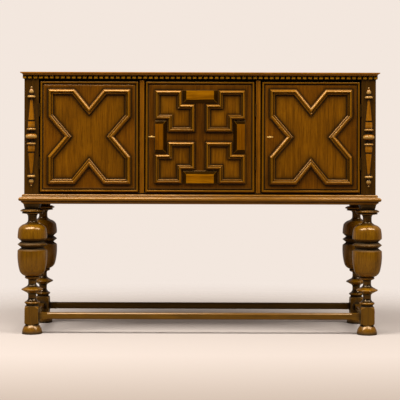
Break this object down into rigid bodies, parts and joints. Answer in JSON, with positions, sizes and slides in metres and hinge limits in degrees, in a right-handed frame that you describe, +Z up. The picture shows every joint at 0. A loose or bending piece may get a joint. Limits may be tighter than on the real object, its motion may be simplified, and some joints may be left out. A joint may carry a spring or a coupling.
{
  "type": "hall cabinet",
  "caption": "Long oak hall cabinet with panelled doors, split balusters and a dentil course, raised on bulbous cup-and-cover legs tied by low stretchers.",
  "frame": {"origin": "on the floor under the middle of the whole object's box", "axes": "+X to the right seen from the front, +Z up, and the front faces -Y"},
  "size_m": [1.5337, 0.4703, 1.098],
  "materials": {
    "case_oak": "stained oak, waxed satin",
    "door_oak": "stained oak boards, waxed satin",
    "moulding_oak": "stained oak mouldings, waxed",
    "turned_oak": "turned stained oak, polished",
    "inner_oak": "unfinished oak",
    "brass": "worn polished brass",
    "lock_steel": "dull brushed steel"
  },
  "bodies": {
    "carcass": {"top_board": "case_oak", "top_rail_front": "case_oak", "bottom_rail_front": "case_oak", "muntin_left": "case_oak", "muntin_right": "case_oak", "end_and_back_rails": "case_oak", "end_panel_left": "case_oak", "end_panel_right": "case_oak", "post_front_left": "case_oak", "leg_front_left": "turned_oak", "post_front_right": "case_oak", "leg_front_right": "turned_oak", "post_rear_left": "case_oak", "leg_rear_left": "turned_oak", "post_rear_right": "case_oak", "leg_rear_right": "turned_oak", "baluster_left": "turned_oak", "baluster_right": "turned_oak", "frieze_front": "moulding_oak", "base_front": "moulding_oak", "frieze_left": "moulding_oak", "base_left": "moulding_oak", "frieze_right": "moulding_oak", "base_right": "moulding_oak", "stretcher_front": "case_oak", "stretcher_rear": "case_oak", "stretcher_left": "case_oak", "stretcher_right": "case_oak", "back_panel": "inner_oak", "bottom_board": "inner_oak", "partition": "inner_oak", "shelf_wide": "inner_oak", "shelf_narrow": "inner_oak", "shelf_cleats": "inner_oak", "door_stops": "inner_oak", "hinge_leaves_case": "brass", "hinge_pins": "brass"},
    "door_left": {"door_left_board": "door_oak", "door_left_bead": "moulding_oak", "door_left_moulding": "moulding_oak", "hinge_leaves_left_door": "brass", "latch_guide": "brass"},
    "door_middle": {"door_middle_board": "door_oak", "door_middle_bead": "moulding_oak", "door_middle_moulding": "moulding_oak", "door_middle_tablets": "door_oak", "hinge_leaves_middle_door": "brass", "lock_case_middle": "lock_steel"},
    "door_right": {"door_right_board": "door_oak", "door_right_bead": "moulding_oak", "door_right_moulding": "moulding_oak", "hinge_leaves_right_door": "brass", "lock_case_right": "lock_steel"},
    "key_middle": {"key_middle": "brass"},
    "bolt_middle": {"bolt_middle": "lock_steel"},
    "key_right": {"key_right": "brass"},
    "bolt_right": {"bolt_right": "lock_steel"},
    "latch_bolt": {"latch_bolt": "brass"}
  },
  "joints": [
    {"name": "door_left_hinge", "type": "hinge", "parent": "carcass", "child": "door_left", "pos_m": [-0.672, -0.2018, 0.8285], "axis": [0, 0, -1], "range_deg": [0, 100]},
    {"name": "door_middle_hinge", "type": "hinge", "parent": "carcass", "child": "door_middle", "pos_m": [0.231, -0.2018, 0.8285], "axis": [0, 0, 1], "range_deg": [0, 100]},
    {"name": "door_right_hinge", "type": "hinge", "parent": "carcass", "child": "door_right", "pos_m": [0.672, -0.2018, 0.8285], "axis": [0, 0, 1], "range_deg": [0, 100]},
    {"name": "key_middle_turn", "type": "hinge", "parent": "door_middle", "child": "key_middle", "pos_m": [-0.2015, -0.2008, 0.8285], "axis": [0, -1, 0], "range_deg": [0, 180]},
    {"name": "key_right_turn", "type": "hinge", "parent": "door_right", "child": "key_right", "pos_m": [0.291, -0.2008, 0.8285], "axis": [0, -1, 0], "range_deg": [0, 180]},
    {"name": "bolt_middle_slide", "type": "slide", "parent": "door_middle", "child": "bolt_middle", "axis": [-1, 0, 0], "range_m": [0, 0.012]},
    {"name": "bolt_right_slide", "type": "slide", "parent": "door_right", "child": "bolt_right", "axis": [-1, 0, 0], "range_m": [0, 0.012]},
    {"name": "latch_slide", "type": "slide", "parent": "door_left", "child": "latch_bolt", "axis": [1, 0, 0], "range_m": [0, 0.012]}
  ],
  "couplings": [
    {"joint": "bolt_middle_slide", "follows": "key_middle_turn", "m_per_rad": 0.0038197},
    {"joint": "bolt_right_slide", "follows": "key_right_turn", "m_per_rad": 0.0038197}
  ]
}
